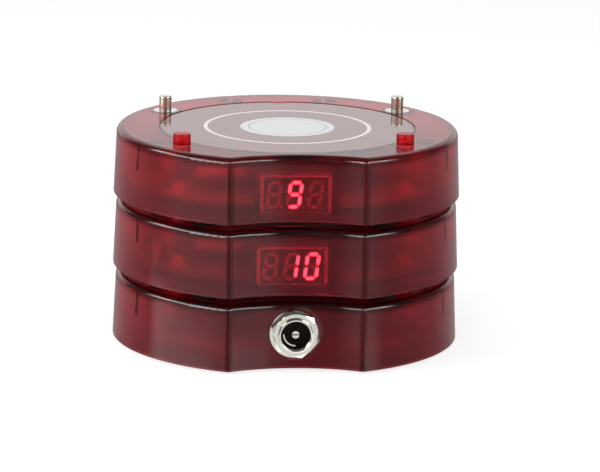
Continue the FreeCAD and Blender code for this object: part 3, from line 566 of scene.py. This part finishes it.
# ---------------------------------------------------------------- operators
class PAGER_OT_mould_housings(bpy.types.Operator):
    """Give the shells and floors their translucent wine-red plastic"""

    bl_idname = "pager.mould_housings"
    bl_label = "Mould housings"

    # Edges of the masks as depth and softness: moulded inside, walls that carry the rounded
    # edge, rounded edge, creases of the bite, flat top.
    # The rounded edge and the creases of the bite mark where shade is painted into the shell's
    # colour.
    INSIDE = (1.3 * MM, 0.4 * MM)
    WALLS = (2.0 * MM, 0.5 * MM)
    ROUNDING = (2.6 * MM, 1.6 * MM)
    CREASE = (0.90 * MM, 0.35 * MM)
    LAND = (0.15 * MM, 0.2 * MM)

    def execute(self, context):
        settings = context.scene.pager_housing
        for unit in STACK:
            dress(unit + "_top_shell", self.shell_finish(settings, unit))
        dress_all(self.cover_finish(settings), "bottom_cover")
        return {"FINISHED"}

    def shell_finish(self, settings, unit):
        """Polished outside and moulded inside, told apart by the depth in the wall. Shade is
        painted darker along the rounded top edge and the front creases, and a painted shadow
        runs round each label.
        """
        finish = Finish(unit + "_wine_shell")
        low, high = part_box(unit + "_top_shell")
        place = finish.coordinates((0.0, 0.0, low.z))
        bite_place = finish.coordinates((0.0, -settings.bite_centre, low.z))
        _, _, height = finish.parts(place)
        lean = finish.product(height, math.tan(settings.draft))
        outer = finish.less(half_width("upper_top_shell"), finish.away(place), lean)
        bite = finish.less(finish.away(bite_place), settings.bite_radius, lean)
        below = finish.less(high.z - low.z, height)
        wall = finish.math("MINIMUM", outer, bite)
        inside = finish.step(finish.math("MINIMUM", wall, below), *self.INSIDE)
        # Painted shade: the rounded top edge, and the walls just under it, take a darker
        # colour; the thicker plastic there is darker as well.
        edge = finish.product(finish.drop(wall, *self.WALLS),
                              finish.drop(below, *self.ROUNDING))
        # Painted shadow: a thin dark band on the shell round each label.
        seat_shadow = finish.band(finish.away(place),
                           half_width("upper_label_disc") + settings.seat_width / 4,
                           settings.seat_width, 0.15 * MM)
        # Painted shade along the two creases of the front, joined with that shadow.
        shaded_creases = finish.math("MAXIMUM", seat_shadow, finish.drop(
            finish.math("MAXIMUM", outer, bite), *self.CREASE))
        tone_and_shade = finish.mix(finish.noise(0.03, 2.0), settings.shell_tint,
                          shaded(settings.shell_tint, 0.9))
        # The painted shade and shadow go into the shell's colour here.
        tone_and_shade = finish.mix(edge, tone_and_shade, settings.edge_tint)
        tone_and_shade = finish.mix(shaded_creases, tone_and_shade, settings.corner_tint)
        scuff = finish.span(finish.noise(0.0025, 4.0, 0.6), settings.polish * 0.7,
                            settings.polish * 1.3)
        soft = finish.math("MAXIMUM",
                           finish.product(finish.drop(below, *self.LAND), settings.land),
                           finish.product(inside, settings.frost))
        finish.set(base_color=tone_and_shade, ior=1.5, transmission_weight=settings.clarity,
                   roughness=finish.total(scuff, soft))
        finish.bump(finish.noise(0.006, 1.0), 0.00004, 0.06, finish.facets(shaded_creases))
        return finish.material

    def cover_finish(self, settings):
        finish = Finish("wine_cover")
        grain = finish.noise(0.0007, 3.0)
        finish.set(base_color=settings.cover_tint, ior=1.5,
                   transmission_weight=settings.clarity,
                   roughness=finish.span(grain, 0.16, 0.30))
        finish.bump(grain, 0.00003, 0.25)
        return finish.material


class PAGER_OT_print_labels(bpy.types.Operator):
    """Print a plain ring and disc on the round labels"""

    bl_idname = "pager.print_labels"
    bl_label = "Print labels"

    def execute(self, context):
        settings = context.scene.pager_label
        finish = Finish("label_print")
        away = finish.away(finish.coordinates())
        ring = finish.band(away, settings.ring_radius, settings.ring_width, 0.12 * MM)
        disc = finish.drop(away, settings.disc_radius, 0.15 * MM)
        line = finish.band(away, settings.line_radius, settings.line_width, 0.1 * MM)
        colour = finish.mix(ring, settings.ground, settings.ink)
        colour = finish.mix(disc, colour, settings.disc)
        colour = finish.mix(line, colour, settings.ground)
        # Painted shadow: a nearly black band all round the label's edge.
        rim = finish.step(away, half_width("upper_label_disc") - settings.edge_width,
                          0.2 * MM)
        colour = finish.mix(rim, colour, settings.edge)
        finish.set(base_color=colour, ior=1.52,
                   roughness=finish.span(finish.noise(0.004, 3.0), 0.05, 0.085))
        finish.bump(finish.noise(0.0015, 2.0), 0.00002, 0.04)
        dress_all(finish.material, "label_disc")
        return {"FINISHED"}


class PAGER_OT_fit_displays(bpy.types.Operator):
    """Dress the digit displays and add their lit and unlit segments"""

    bl_idname = "pager.fit_displays"
    bl_label = "Fit displays"

    # Band of depths behind a case's front that holds its window: middle, width, softness.
    WINDOW = (0.3 * MM, 0.2 * MM, 0.04 * MM)

    def execute(self, context):
        settings = context.scene.pager_display
        core = self.glow("lit_core", settings.core, settings.strength)
        rim = self.glow("lit_rim", settings.glow, settings.strength * 1.3)
        dim = plain_plastic("unlit_segment", settings.dim_tint, 0.4)
        for unit in PAGERS:
            case, old = unit + "_display_module", unit + "_display_segments"
            dress(case, self.case_finish(settings, unit))
            low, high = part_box(old)
            centre = middle(old, x=middle(case).x + settings.aside, y=low.y)
            lit, unlit = (self.plates(settings, unit, centre, high.y - low.y, shown)
                          for shown in (True, False))
            piece = new_piece(unit + "_lit_segments", lit, rim, STACK[unit], "lit_segment",
                              old)
            piece.data.materials.append(core)
            new_piece(unit + "_unlit_segments", unlit, dim, STACK[unit], "display_case")
        return {"FINISHED"}

    def glow(self, name, colour, strength):
        finish = Finish(name)
        drift = finish.noise(0.0012, 1.0)
        finish.set(base_color=shaded(colour, 0.4), emission_color=colour, roughness=0.5,
                   emission_strength=finish.span(drift, strength * 0.85, strength * 1.1))
        return finish.material

    def plates(self, settings, unit, middle_digit, thick, lit):
        """Thin plates for the lit segments, or for all the others and the points."""
        mesh = bmesh.new()
        for place in (-1, 0, 1):
            shown = FIGURES[SHOWN[unit].get(place, " ")]
            centre = middle_digit + Vector((place * settings.pitch, 0.0, 0.0))
            for letter in SEGMENTS:
                if (letter in shown) == lit:
                    self.plate(mesh, settings, centre, thick,
                               self.outline(settings, letter), settings.rim)
            if not lit:
                self.plate(mesh, settings, centre, thick, self.point(settings), 0.0)
        return finished(mesh, unit + ("_lit" if lit else "_unlit"))

    def outline(self, settings, letter):
        """Corners of a segment about the middle of its digit, before the slant."""
        column, row, upright = SEGMENTS[letter]
        half = settings.segment_width / 2
        span_x = settings.digit_width / 2 - half
        span_z = settings.digit_height / 2 - half
        reach = (span_z / 2 if upright else span_x) - settings.gap
        corners = []
        for along, off in ((-1, 0), (-1, 1), (1, 1), (1, 0), (1, -1), (-1, -1)):
            run = along * (reach - half * 0.85 * abs(off))
            across, up = (off * half, run) if upright else (run, off * half)
            corners.append((column * span_x + across, row * span_z + up))
        return corners

    def point(self, settings):
        """Small round decimal point at the lower right of a digit."""
        across = settings.digit_width / 2 + settings.point_radius * 1.5
        foot = settings.point_radius - settings.digit_height / 2
        turns = [math.tau * step / 16 for step in range(16)]
        return [(across + settings.point_radius * math.cos(turn),
                 foot + settings.point_radius * math.sin(turn)) for turn in turns]

    def plate(self, mesh, settings, centre, thick, corners, rim):
        """One leaning plate. Its front is split into a core and a rim of given width."""
        lean = math.tan(settings.slant)
        middle_x = sum(across for across, _ in corners) / len(corners)
        middle_z = sum(up for _, up in corners) / len(corners)

        def ring(inset, depth):
            points = []
            for across, up in corners:
                away = Vector((across - middle_x, up - middle_z))
                away *= max(1.0 - inset / away.length, 0.0)
                x, z = middle_x + away.x, middle_z + away.y
                points.append(mesh.verts.new(centre + Vector((x + z * lean, depth, z))))
            return points

        front, rear = ring(0.0, 0.0), ring(0.0, thick)
        loops = [(front, rear)]
        inner = front
        if rim:
            inner = ring(rim, 0.0)
            loops.append((inner, front))
        count = len(corners)
        for first, second in loops:
            for index in range(count):
                after = (index + 1) % count
                mesh.faces.new((first[index], first[after], second[after], second[index]))
        mesh.faces.new(rear)
        mesh.faces.new(inner).material_index = 1 if rim else 0

    def case_finish(self, settings, unit):
        """Light case with a dark window where the front is sunk."""
        finish = Finish(unit + "_display_case")
        low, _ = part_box(unit + "_display_module")
        _, back, _ = finish.parts(finish.coordinates((0.0, low.y, 0.0)))
        window = finish.band(back, *self.WINDOW)
        finish.set(base_color=finish.mix(window, settings.case_tint, settings.window_tint),
                   roughness=0.35)
        return finish.material


class PAGER_OT_fit_metal(bpy.types.Operator):
    """Plate the pins, the jack and the small metal pieces"""

    bl_idname = "pager.fit_metal"
    bl_label = "Fit metal"

    def execute(self, context):
        settings = context.scene.pager_metal
        nickel = plated_metal("bright_nickel", settings.nickel, settings.roughness)
        pin = plated_metal("pin_plating", settings.pin_metal, settings.roughness * 0.8,
                           (1.0, 1.0, 8.0))
        steel = plated_metal("plain_steel", settings.steel, 0.28)
        dress_all(nickel, "jack_nut", "jack_washer")
        dress_all(self.contact_finish(settings), "jack_contacts")
        dress_all(pin, "charge_pin_left", "charge_pin_right")
        dress_all(plated_metal("plated_bush", settings.bush_metal, 0.09), "pin_bushes")
        dress_all(steel, "housing_screws", "vibration_motor", "motor_weight")
        dress_all(plated_metal("brass_stud", settings.brass, 0.2), "contact_studs")
        return {"FINISHED"}

    def contact_finish(self, settings):
        """Bright contacts, with shade painted nearly black inside the slot in the tip of the
        centre pin.
        """
        tip = middle("base_jack_barrel", y=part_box("base_jack_contacts")[0].y)
        finish = Finish("jack_contacts")
        _, back, _ = finish.parts(finish.coordinates(tip))
        near = finish.drop(finish.away(finish.coordinates(tip, (math.pi / 2, 0.0, 0.0))),
                           settings.slot_reach, 0.1 * MM)
        # Painted shade: inside the slot, behind the tip, the colour goes nearly black.
        sunk = finish.product(near, finish.step(back, 0.15 * MM, 0.1 * MM))
        blush = finish.noise(0.002, 2.0)
        bright = finish.mix(blush, settings.nickel, shaded(settings.nickel, 0.9))
        finish.set(base_color=finish.mix(sunk, bright, (0.02, 0.018, 0.012)), metallic=1.0,
                   roughness=finish.span(sunk, settings.roughness, 0.6))
        return finish.material


class PAGER_OT_turn_pegs(bpy.types.Operator):
    """Turn the clear locating pegs with rounded, slightly domed heads"""

    bl_idname = "pager.turn_pegs"
    bl_label = "Turn pegs"

    def execute(self, context):
        settings = context.scene.pager_peg
        finish = Finish("red_peg")
        # Painted shade: faces that look up take the darker top colour, and a rougher finish.
        shaded_cap = finish.step(finish.upward(), 0.9, 0.1)
        polish = finish.span(finish.noise(0.001, 3.0), 0.01, 0.04)
        finish.set(base_color=finish.mix(shaded_cap, settings.colour, settings.cap_tint),
                   ior=1.49, transmission_weight=0.92, specular_ior_level=0.08,
                   roughness=finish.blend(shaded_cap, polish, 0.3))
        for unit in STACK:
            low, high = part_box(unit + "_locating_pegs")
            mesh = bmesh.new()
            for side in (-1, 1):
                lathe(mesh, self.profile(settings, low.z, high.z),
                      (side * settings.across, -settings.front, 0.0))
            pegs = softened(finished(mesh, unit + "_pegs"))
            new_piece(unit + "_pegs", pegs, finish.material, STACK[unit], "red_peg",
                      unit + "_locating_pegs")
        return {"FINISHED"}

    def profile(self, settings, foot, top):
        """Flange, shank and head of a peg from its foot to its top."""
        flange_top = foot + settings.flange_height
        face = top - settings.stand
        rim = top - settings.dome
        points = [(0.0, foot), (settings.flange, foot), (settings.flange, flange_top),
                  (settings.shank, flange_top), (settings.shank, face),
                  (settings.radius, face)]
        corner = settings.corner
        for step in range(7):
            turn = math.radians(step * 14)
            points.append((settings.radius - corner * (1 - math.cos(turn)),
                           rim - corner * (1 - math.sin(turn))))
        inner = points[-1][0]
        for part in (0.66, 0.33, 0.0):
            points.append((inner * part, top - settings.dome * part * part))
        return points


class PAGER_OT_wind_springs(bpy.types.Operator):
    """Wind the coil springs under the pins"""

    bl_idname = "pager.wind_springs"
    bl_label = "Wind springs"

    def execute(self, context):
        settings = context.scene.pager_spring
        tree = self.tree()
        steel = plated_metal("spring_steel", context.scene.pager_metal.steel, 0.2)
        for unit in STACK:
            for side in SIDES:
                node = "%s_pin_spring_%s" % (unit, side)
                low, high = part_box(node)
                inputs = {"Turns": settings.turns, "Radius": half_width(node),
                          "Wire": settings.wire, "Height": high.z - low.z,
                          "Steel": steel}
                mesh = grown(tree, inputs, node + "_coil")
                place = middle(node, z=low.z)
                mesh.transform(Matrix.Translation(place))
                coil = new_piece(node + "_coil", mesh, steel, STACK[unit], "spring_wire",
                                 node)
                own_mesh(coil)
        return {"FINISHED"}

    def tree(self):
        """A round wire wound on a spiral, with its ends inside the given height."""
        coil = Growth("coil_spring", (("Turns", "Int"), ("Radius", "Float"),
                                      ("Wire", "Float"), ("Height", "Float"),
                                      ("Steel", "Material")))
        wire = coil.given["Wire"]
        centre = coil.less(coil.given["Radius"], wire)
        rise = coil.less(coil.given["Height"], wire, wire)
        spiral = coil.grow("CurveSpiral", {"Resolution": 18, "Rotations": coil.given["Turns"],
                                           "Start Radius": centre, "End Radius": centre,
                                           "Height": rise})
        section = coil.grow("CurvePrimitiveCircle", {"Resolution": 8, "Radius": wire})
        wound = coil.grow("CurveToMesh", {"Curve": spiral, "Profile Curve": section,
                                          "Fill Caps": True})
        return coil.close(coil.raised(wound, wire), coil.given["Steel"])


class PAGER_OT_cut_threads(bpy.types.Operator):
    """Cut the thread on the jack's barrel"""

    bl_idname = "pager.cut_threads"
    bl_label = "Cut threads"

    # From the barrel's face back to its thread, and from the stack's axis forward to the
    # front and the rear of its shoulder.
    START = 0.45 * MM
    SHOULDER_FRONT, SHOULDER_REAR = 39.1 * MM, 37.3 * MM

    def execute(self, context):
        settings = context.scene.pager_metal
        low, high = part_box("base_jack_barrel")
        axis = middle("base_jack_barrel", y=0.0)
        mesh = bmesh.new()
        facing = Matrix.Rotation(math.pi / 2, 4, "X")
        ripple = self.ripple(settings, -low.y)
        lathe(mesh, self.profile(settings, -high.y, -low.y), axis, facing, 96, ripple)
        bmesh.ops.remove_doubles(mesh, verts=mesh.verts[:], dist=0.001 * MM)
        finish = plated_metal("barrel_nickel", settings.nickel, settings.roughness)
        barrel = softened(finished(mesh, "base_threaded_barrel"))
        new_piece("base_threaded_barrel", barrel, finish, STACK["base"], "nickel",
                  "base_jack_barrel")
        return {"FINISHED"}

    def ripple(self, settings, front):
        """Radius of the barrel where a single thread winds round it."""
        outer, pitch, depth = (settings.barrel_radius, settings.thread_pitch,
                               settings.thread_depth)

        def radius_at(radius, height, turn):
            if abs(radius - outer) > 0.01 * MM or front - height < self.START:
                return radius
            phase = (height / pitch - turn / math.tau) % 1.0
            return outer - depth * min(abs(phase - 0.5) * 2.6, 1.0)
        return radius_at

    def profile(self, settings, back, front):
        """Closed profile: bore with a bright chamfer, grooved face, threaded outside."""
        outer, bore = settings.barrel_radius, settings.barrel_bore
        points = [(bore, back), (bore, front - 0.5 * MM), (bore + 0.32 * MM, front - 0.06 * MM),
                  (bore + 0.42 * MM, front), (outer - 0.30 * MM, front),
                  (outer - 0.12 * MM, front - 0.08 * MM), (outer, front - 0.34 * MM)]
        height = front - self.START
        while height > self.SHOULDER_FRONT:
            points.append((outer, height))
            height -= settings.thread_pitch / 8
        inner = outer - 0.02 * MM
        points += [(outer - 0.001 * MM, self.SHOULDER_FRONT),
                   (settings.shoulder, self.SHOULDER_FRONT),
                   (settings.shoulder, self.SHOULDER_REAR), (inner, self.SHOULDER_REAR),
                   (inner, back), (bore, back)]
        return points


class PAGER_OT_fit_plastics(bpy.types.Operator):
    """Dress the boards, what stands on them, the leads, the feet and the lamps"""

    bl_idname = "pager.fit_plastics"
    bl_label = "Fit plastics"

    def execute(self, context):
        for *look, endings in PLASTICS:
            dress_all(plain_plastic(*look), *endings)
        dress_all(self.board_finish(), "charge_board", "main_board")
        lamp = Finish("lamp_red")
        cloud = lamp.noise(0.001, 2.0)
        lamp.set(base_color=lamp.mix(cloud, (0.85, 0.30, 0.28), (0.78, 0.22, 0.20)),
                 roughness=lamp.span(cloud, 0.12, 0.2))
        dress_all(lamp.material, "indicator_lamps")
        return {"FINISHED"}

    def board_finish(self):
        """White solder mask, and a brown edge where the board is cut."""
        finish = Finish("circuit_board")
        cut = finish.drop(finish.math("ABSOLUTE", finish.upward()), 0.5, 0.2)
        mask = finish.mix(finish.noise(0.0015, 3.0), (0.44, 0.42, 0.37), (0.38, 0.36, 0.32))
        finish.set(base_color=finish.mix(cut, mask, (0.09, 0.06, 0.03)), roughness=0.38)
        return finish.material


class PAGER_OT_light_studio(bpy.types.Operator):
    """Set up the floor, the light and the camera"""

    bl_idname = "pager.light_studio"
    bl_label = "Light studio"

    # Edges in what mirrors see, as middle and softness. Heights are sines above the
    # horizon, and turns are cosines away from the camera.
    WALL_TURN, WALL_HEIGHT = (-0.78, 0.25), (0.80, 0.30)
    STRIP_TOP, STRIP_MIDDLE, STRIP_FOOT = (0.56, 0.08), (0.34, 0.05), (0.236, 0.05)
    FRONT_TURN = (math.cos(math.radians(26)), 0.10)
    POOL_HEIGHT, NEAR_HEIGHT, UNDER_HEIGHT = (-0.177, 0.016), (-0.205, 0.01), (-0.50, 0.30)
    NEAR_TURN, REAR_TURN = (0.80, 0.2), (-0.65, 0.5)

    def execute(self, context):
        settings = context.scene.pager_studio
        self.camera(context, settings)
        self.world(context, settings)
        self.floor(context, settings)
        self.lamps(context, settings)
        context.scene.view_settings.view_transform = "Standard"
        return {"FINISHED"}

    def towards_camera(self, settings):
        """Level direction from the stack to the camera."""
        return Vector((math.sin(settings.azimuth), -math.cos(settings.azimuth), 0.0))

    def camera(self, context, settings):
        turn, lift, roll = settings.azimuth, settings.elevation, settings.roll
        back = Vector((math.sin(turn) * math.cos(lift), -math.cos(turn) * math.cos(lift),
                       math.sin(lift)))
        right = Vector((math.cos(turn), math.sin(turn), 0.0))
        up = back.cross(right)
        rolled_right = right * math.cos(roll) + up * math.sin(roll)
        rolled_up = up * math.cos(roll) - right * math.sin(roll)
        data = bpy.data.cameras.new("studio_camera")
        data.lens = settings.lens
        data.sensor_width = 36.0
        data.shift_x, data.shift_y = settings.shift_x, settings.shift_y
        data.clip_start, data.clip_end = 0.01, 50.0
        camera = bpy.data.objects.new("studio_camera", data)
        context.scene.collection.objects.link(camera)
        matrix = Matrix((rolled_right, rolled_up, back)).transposed().to_4x4()
        matrix.translation = Vector((0, 0, settings.target_height)) + back * settings.distance
        camera.matrix_world = matrix
        context.scene.camera = camera

    def world(self, context, settings):
        """Plain fill light, with levels of their own for mirrors and clear plastic."""
        world = bpy.data.worlds.new("studio_world")
        context.scene.world = world
        world.use_nodes = True
        graph = Graph(world.node_tree)
        world.node_tree.nodes.clear()
        direction = graph.node("TexCoord").outputs["Generated"]
        across, _, up = graph.parts(direction)
        towards = self.towards_camera(settings)
        ahead = graph.dot(direction, towards)
        aside = graph.dot(direction, Vector((-towards.y, towards.x, 0.0)))
        turn = graph.math("ARCTAN2", aside, ahead)
        facing = graph.math("DIVIDE", ahead, graph.math("MAXIMUM", graph.away(direction), 1e-4))
        mirrored = graph.blend(graph.step(up, 0.0, 0.02),
                               self.ground(graph, settings, turn, facing, up),
                               self.sky(graph, settings, turn, facing, up))
        clear = graph.product(
            graph.span(across, settings.left_level, settings.right_level, -1.0),
            graph.span(graph.step(facing, -0.2, 1.0), 0.5, 1.0))
        strength = settings.fill_level
        for kind, level in (("Glossy", mirrored), ("Transmission", clear), ("Camera", 1.0)):
            strength = graph.blend(graph.seen_by(kind), strength, level)
        light = graph.node("Background", {"Color": (1.0, 1.0, 1.0), "Strength": strength})
        graph.node("OutputWorld", {"Surface": light.outputs[0]})

    def sectors(self, graph, turn, pair):
        """1 inside two sectors round the stack."""
        return graph.math("MAXIMUM", *(graph.band(turn, *map(math.radians, sector))
                                       for sector in pair))

    def sky(self, graph, settings, turn, facing, up):
        """What mirrors see above the horizon: a wall behind and two upright strips."""
        wall = graph.product(graph.drop(facing, *self.WALL_TURN),
                             graph.drop(up, *self.WALL_HEIGHT))
        strips = self.sectors(graph, turn, STRIPS)
        level = graph.blend(graph.step(up, *self.STRIP_FOOT), settings.foot_level,
                            settings.low_level)
        level = graph.blend(graph.step(up, *self.STRIP_MIDDLE), level, settings.strip_level)
        return graph.total(graph.product(wall, settings.horizon_level),
                           graph.product(strips, level, graph.drop(up, *self.STRIP_TOP)),
                           settings.ceiling_level)

    def ground(self, graph, settings, turn, facing, up):
        """What mirrors see below the horizon: a dim floor with lit pools on both sides."""
        pools = graph.product(self.sectors(graph, turn, POOLS), settings.pool_level)
        gleams = self.sectors(graph, turn, GLEAMS)
        front = graph.span(graph.step(facing, *self.FRONT_TURN), 1.0, 0.5)
        near = graph.product(graph.drop(up, *self.NEAR_HEIGHT),
                             graph.step(facing, *self.NEAR_TURN))
        return graph.total(
            graph.product(front, settings.floor_level),
            graph.blend(graph.drop(up, *self.POOL_HEIGHT), pools, gleams),
            graph.product(near, settings.near_level),
            graph.product(graph.drop(facing, *self.REAR_TURN), settings.rear_level),
            graph.product(graph.drop(up, *self.UNDER_HEIGHT), settings.under_level))

    def floor(self, context, settings):
        """White floor that keeps the shadow. Mirrors see the world instead of it."""
        mesh = bpy.data.meshes.new("studio_floor")
        half = 4.0
        mesh.from_pydata([(-half, -half, 0), (half, -half, 0), (half, half, 0),
                          (-half, half, 0)], [], [(0, 1, 2, 3)])
        floor = bpy.data.objects.new("studio_floor", mesh)
        context.scene.collection.objects.link(floor)
        floor.visible_glossy = False
        material = bpy.data.materials.new("studio_floor")
        material.use_nodes = True
        material.node_tree.nodes.clear()
        mesh.materials.append(material)
        graph = Graph(material.node_tree)
        paper = graph.node("BsdfDiffuse", {"Color": settings.floor_tint})
        glow = graph.node("Emission")
        glowing = graph.math(
            "MAXIMUM", graph.product(graph.seen_by("Camera"), settings.floor_glow),
            graph.product(graph.seen_by("Transmission"), settings.inner_glow))
        seen = graph.node("MixShader", {0: glowing, 1: paper.outputs[0],
                                        2: glow.outputs[0]})
        graph.node("OutputMaterial", {"Surface": seen.outputs[0]})

    def lamps(self, context, settings):
        for name, place, size in LAMPS:
            data = bpy.data.lights.new(name + "_lamp", "AREA")
            data.size = size
            data.energy = getattr(settings, name + "_power")
            lamp = bpy.data.objects.new(name + "_lamp", data)
            lamp.visible_glossy = False
            context.scene.collection.objects.link(lamp)
            aim = Vector((0.0, 0.0, settings.target_height)) - Vector(place)
            lamp.matrix_world = (Matrix.Translation(place)
                                 @ aim.to_track_quat("-Z", "Y").to_matrix().to_4x4())


class PAGER_PT_panel(bpy.types.Panel):
    """Lists the steps in order"""

    bl_idname = "PAGER_PT_panel"
    bl_label = "Pager Stack"
    bl_space_type = "VIEW_3D"
    bl_region_type = "UI"
    bl_category = "Pager Stack"

    def draw(self, context):
        for step in OPERATORS:
            self.layout.operator(step.bl_idname)


OPERATORS = (PAGER_OT_mould_housings, PAGER_OT_print_labels, PAGER_OT_fit_displays,
             PAGER_OT_fit_metal, PAGER_OT_turn_pegs, PAGER_OT_wind_springs,
             PAGER_OT_cut_threads, PAGER_OT_fit_plastics, PAGER_OT_light_studio)
SETTINGS = {"pager_housing": HousingSettings, "pager_peg": PegSettings,
            "pager_label": LabelSettings, "pager_display": DisplaySettings,
            "pager_metal": MetalSettings, "pager_spring": SpringSettings,
            "pager_studio": StudioSettings}
CLASSES = (*SETTINGS.values(), *OPERATORS, PAGER_PT_panel)


def register():
    for item in CLASSES:
        bpy.utils.register_class(item)
    for name, group in SETTINGS.items():
        setattr(bpy.types.Scene, name, PointerProperty(type=group))


def unregister():
    for name in SETTINGS:
        delattr(bpy.types.Scene, name)
    for item in reversed(CLASSES):
        bpy.utils.unregister_class(item)


def main():
    register()
    for step in OPERATORS:
        getattr(bpy.ops.pager, step.bl_idname.removeprefix("pager."))()


if __name__ == "__main__":
    main()
